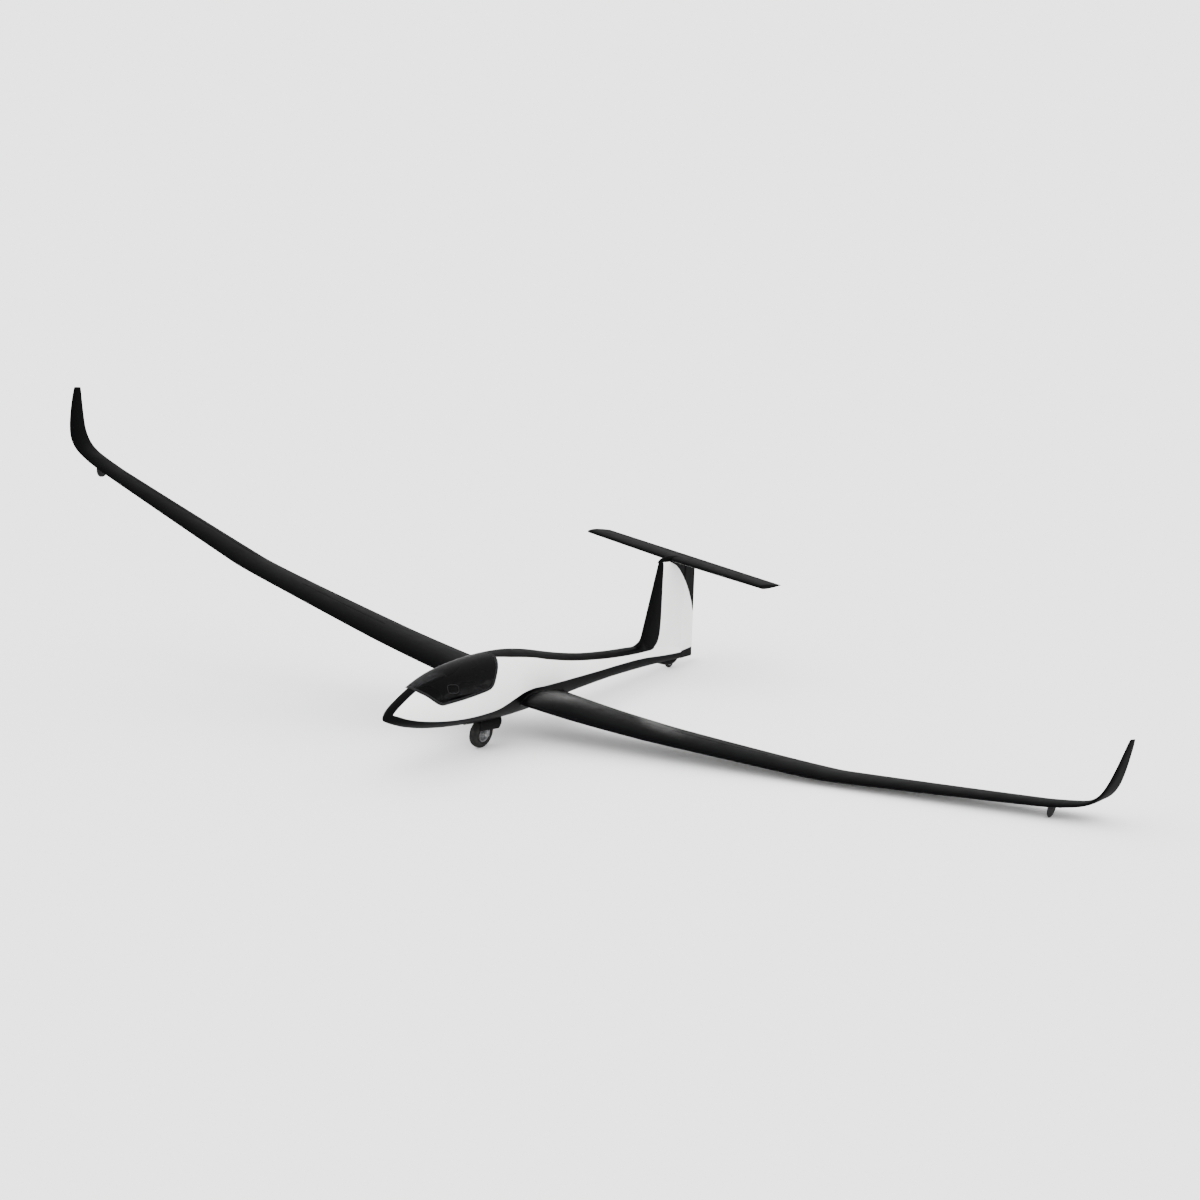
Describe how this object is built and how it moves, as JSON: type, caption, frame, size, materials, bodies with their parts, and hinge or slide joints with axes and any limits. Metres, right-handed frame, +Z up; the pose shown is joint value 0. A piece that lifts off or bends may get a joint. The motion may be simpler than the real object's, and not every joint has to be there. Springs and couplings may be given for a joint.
{
  "type": "sailplane glider",
  "caption": "Single-seat 15 m sailplane with T-tail and winglets, hinged canopy, working control surfaces, airbrakes and wheels, parked on one wing tip.",
  "frame": {"origin": "on the ground, below the centre of the bounding box of the parked aircraft", "axes": "+X towards the left wing tip, -Y towards the nose, +Z up; the airframe is banked about 12 degrees onto its left wing tip and pitched nose up onto its tail wheel"},
  "size_m": [14.7902, 6.5594, 3.9609],
  "materials": {
    "white_gelcoat": "polished white gelcoat with black livery stripes",
    "black_gelcoat": "polished black gelcoat",
    "tinted_glass": "dark tinted acrylic",
    "grey_laminate": "painted glass fibre",
    "seat_fabric": "woven upholstery",
    "dark_plastic": "fine textured",
    "blue_handle": "moulded handle",
    "grey_steel": "grey painted steel tube",
    "wheel_alloy": "cast",
    "tyre_rubber": "ribbed rubber"
  },
  "bodies": {
    "airframe": {"cockpit_shell": "white_gelcoat", "rear_fuselage": "white_gelcoat", "tail_wheel_fairing": "white_gelcoat", "wing_left": "black_gelcoat", "wing_right": "black_gelcoat", "winglet_left": "black_gelcoat", "winglet_right": "black_gelcoat", "tip_skid_left": "dark_plastic", "tip_skid_right": "dark_plastic", "fin": "white_gelcoat", "stabilizer": "black_gelcoat", "main_axle": "grey_steel", "gear_legs": "grey_steel", "gear_door_left": "white_gelcoat", "gear_door_right": "white_gelcoat", "tow_hook": "grey_steel", "tail_axle": "grey_steel", "seat_pan": "grey_laminate", "seat_cushion": "seat_fabric", "headrest": "seat_fabric", "headrest_bracket": "grey_laminate", "instrument_panel": "dark_plastic", "control_stick": "dark_plastic", "rudder_pedals": "grey_steel", "airbrake_lever": "blue_handle", "gear_lever": "dark_plastic", "trim_lever": "dark_plastic"},
    "canopy": {"canopy_frame": "black_gelcoat", "canopy_glass": "tinted_glass"},
    "main_wheel": {"main_hub": "wheel_alloy", "main_tyre": "tyre_rubber"},
    "tail_wheel": {"tail_hub": "wheel_alloy", "tail_tyre": "tyre_rubber"},
    "rudder": {"rudder": "white_gelcoat"},
    "elevator": {"elevator": "black_gelcoat"},
    "aileron_left": {"aileron_left": "black_gelcoat"},
    "aileron_right": {"aileron_right": "black_gelcoat"},
    "airbrake_left": {"airbrake_left": "black_gelcoat"},
    "airbrake_right": {"airbrake_right": "black_gelcoat"}
  },
  "joints": [
    {"name": "canopy_hinge", "type": "hinge", "parent": "airframe", "child": "canopy", "pos_m": [-0.31677, -2.80473, 1.10357], "axis": [0.9788, -0.0304, -0.2024], "range_deg": [0, 50]},
    {"name": "main_wheel_spin", "type": "hinge", "parent": "airframe", "child": "main_wheel", "pos_m": [-0.46373, -1.37621, 0.17849], "axis": [0.9788, -0.0304, -0.2024], "continuous": true},
    {"name": "tail_wheel_spin", "type": "hinge", "parent": "airframe", "child": "tail_wheel", "pos_m": [-0.35566, 2.7353, 0.08399], "axis": [0.9788, -0.0304, -0.2024], "continuous": true},
    {"name": "rudder_hinge", "type": "hinge", "parent": "airframe", "child": "rudder", "pos_m": [-0.34809, 2.94341, 0.08938], "axis": [0.1966, -0.1359, 0.971], "range_deg": [-30, 30]},
    {"name": "elevator_hinge", "type": "hinge", "parent": "airframe", "child": "elevator", "pos_m": [-0.06338, 2.81421, 1.48558], "axis": [0.9788, -0.0304, -0.2024], "range_deg": [-18, 25]},
    {"name": "aileron_left_hinge", "type": "hinge", "parent": "airframe", "child": "aileron_left", "pos_m": [4.0413, -0.72579, 0.05791], "axis": [0.9961, -0.0842, 0.0269], "range_deg": [-20, 20]},
    {"name": "aileron_right_hinge", "type": "hinge", "parent": "airframe", "child": "aileron_right", "pos_m": [-4.60041, -0.45758, 1.84489], "axis": [-0.907, -0.0251, 0.4204], "range_deg": [-20, 20]},
    {"name": "airbrake_left_slide", "type": "slide", "parent": "airframe", "child": "airbrake_left", "axis": [0.096, 0.1477, 0.9844], "range_m": [0, 0.06]},
    {"name": "airbrake_right_slide", "type": "slide", "parent": "airframe", "child": "airbrake_right", "axis": [0.3109, 0.1411, 0.9399], "range_m": [0, 0.06]}
  ],
  "couplings": [
    {"joint": "aileron_right_hinge", "follows": "aileron_left_hinge", "ratio": 1},
    {"joint": "airbrake_right_slide", "follows": "airbrake_left_slide", "ratio": 1}
  ]
}
